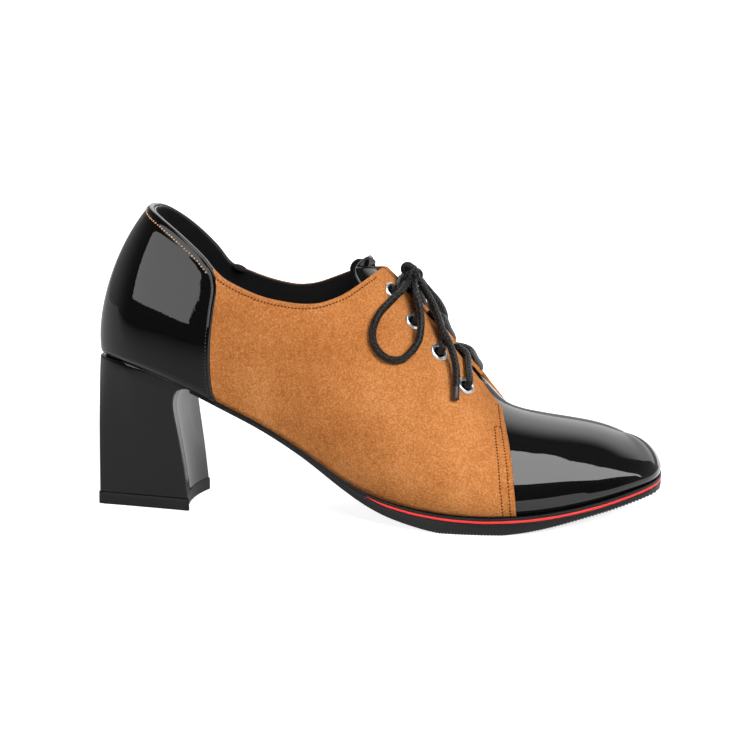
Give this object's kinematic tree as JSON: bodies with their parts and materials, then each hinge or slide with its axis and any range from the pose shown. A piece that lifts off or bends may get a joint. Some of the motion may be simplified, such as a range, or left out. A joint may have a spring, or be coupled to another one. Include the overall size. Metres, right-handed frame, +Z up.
{
  "type": "lace-up block heel pump",
  "caption": "Right lace-up pump with a patent toe, counter and tongue, suede quarters, laced throat, thin edge-striped sole and flared block heel.",
  "frame": {"origin": "centre of the heel tip's resting face, on the floor", "axes": "+X towards the toe, -Y towards the outer side of the foot, +Z up; the row stands upright on its heel tip and forefoot"},
  "size_m": [0.2404, 0.0879, 0.1297],
  "materials": {
    "patent": "black patent, high gloss",
    "suede": "tan suede, matte nap",
    "nickel": "polished nickel",
    "cord": "black waxed round cord",
    "lining": "matte black lining",
    "rubber": "satin black",
    "stripe": "red, satin"
  },
  "bodies": {
    "root": {"upper": "patent", "quarter_outer": "suede", "quarter_inner": "suede", "counter": "patent", "tongue": "patent", "eyelet_outer_1": "nickel", "eyelet_outer_2": "nickel", "eyelet_outer_3": "nickel", "eyelet_outer_4": "nickel", "eyelet_inner_1": "nickel", "eyelet_inner_2": "nickel", "eyelet_inner_3": "nickel", "eyelet_inner_4": "nickel", "lace_bar_1": "cord", "lace_bar_2": "cord", "lace_bar_3": "cord", "lace_bar_4": "cord", "lace_knot": "cord", "lace_loop_outer": "cord", "lace_loop_inner": "cord", "lace_end_outer": "cord", "lace_end_inner": "cord", "insole": "lining", "midsole": "rubber", "stripe": "stripe", "outsole": "rubber", "heel": "patent", "heel_tip": "rubber"}
  },
  "joints": []
}
